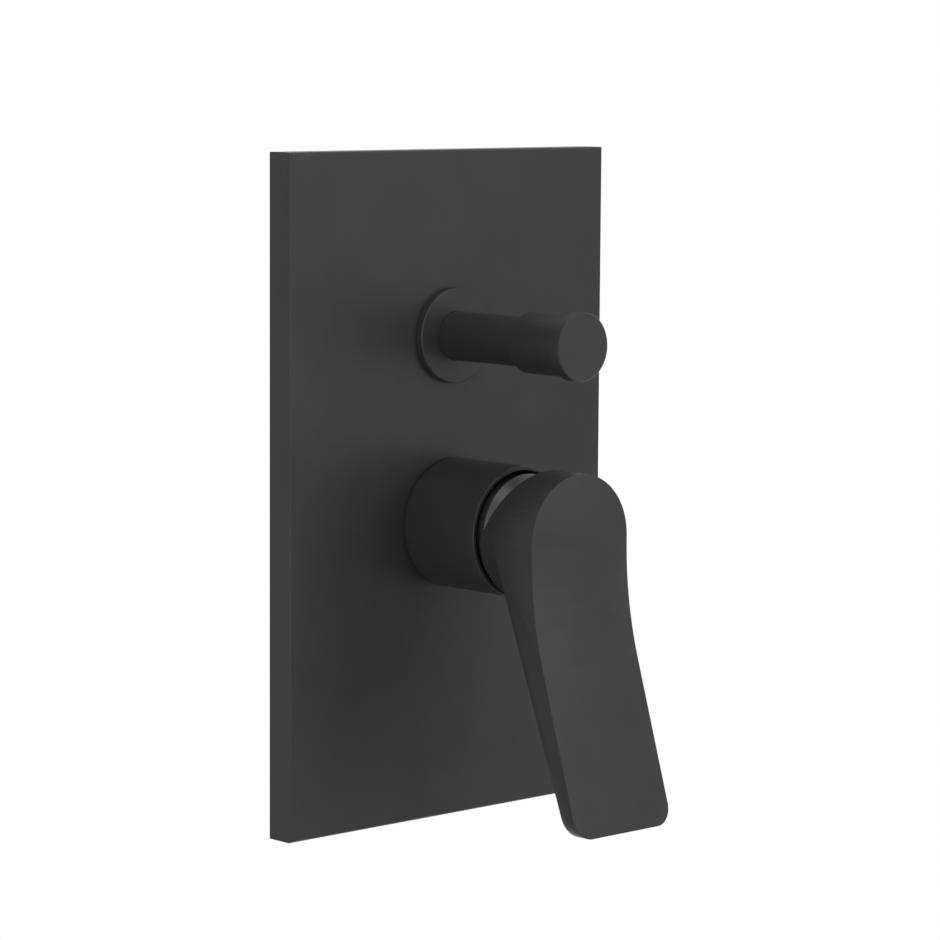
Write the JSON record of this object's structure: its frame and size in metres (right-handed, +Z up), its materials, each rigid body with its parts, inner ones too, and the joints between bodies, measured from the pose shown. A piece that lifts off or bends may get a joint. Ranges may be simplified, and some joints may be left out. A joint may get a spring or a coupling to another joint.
{
  "type": "shower mixer",
  "caption": "Concealed single-lever shower mixer in matt black: tall rectangular plate, pull knob diverter above, long curved lever on a round sleeve below, brass valve body behind.",
  "frame": {"origin": "where the mixer's axis meets the finished wall, on the plane of the cover plate's back rim", "axes": "+Y into the wall, away from the user, +Z up along the plate's height, +X to the user's right"},
  "size_m": [0.15, 0.1471, 0.24],
  "materials": {
    "coat": "matte",
    "dome": "satin",
    "brass": "satin",
    "steel": "satin",
    "nylon": "satin",
    "ceramic": "satin",
    "rubber": "matte",
    "foam": "matte"
  },
  "bodies": {
    "fixed": {"cover_plate": "coat", "plate_gasket": "foam", "mixer_sleeve": "coat", "mixer_grommet": "rubber", "barrel_ring": "rubber", "dome_cap": "dome", "cartridge_nut": "brass", "cartridge_housing": "nylon", "cartridge_base": "nylon", "base_seals": "rubber", "disc_seals": "rubber", "fixed_disc": "ceramic", "valve_body": "brass", "diverter_rosette": "coat", "rosette_seal": "rubber", "neck_tube": "coat", "diverter_bonnet": "brass", "bonnet_seal": "rubber", "rod_seals": "rubber", "gland_bush": "nylon", "rod_guide": "nylon", "diverter_cage": "nylon", "rear_seat": "nylon", "cage_seals": "rubber"},
    "lever": {"lever_handle": "coat", "grub_screw": "steel", "screw_plug": "rubber", "lever_stem": "steel"},
    "rotor": {"cartridge_rotor": "nylon", "pivot_pin": "steel"},
    "slider": {"disc_carrier": "nylon", "moving_disc": "ceramic"},
    "diverter": {"diverter_rod": "steel", "piston_disc": "brass", "piston_faces": "rubber", "rod_nuts": "steel", "knob_grip": "coat", "knob_cap": "coat"}
  },
  "joints": [
    {"name": "temperature_turn", "type": "hinge", "parent": "fixed", "child": "rotor", "pos_m": [0, 0, 0], "axis": [0, -1, 0], "range_deg": [-45, 45]},
    {"name": "flow_lift", "type": "hinge", "parent": "rotor", "child": "lever", "pos_m": [0, -0.04, 0], "axis": [-1, 0, 0], "range_deg": [0, 22]},
    {"name": "disc_slide", "type": "slide", "parent": "rotor", "child": "slider", "axis": [0, 0, -1], "range_m": [0, 0.00535]},
    {"name": "diverter_pull", "type": "slide", "parent": "fixed", "child": "diverter", "axis": [0, -1, 0], "range_m": [0, 0.0098]}
  ],
  "couplings": [
    {"joint": "disc_slide", "follows": "flow_lift", "m_per_rad": 0.013914}
  ]
}
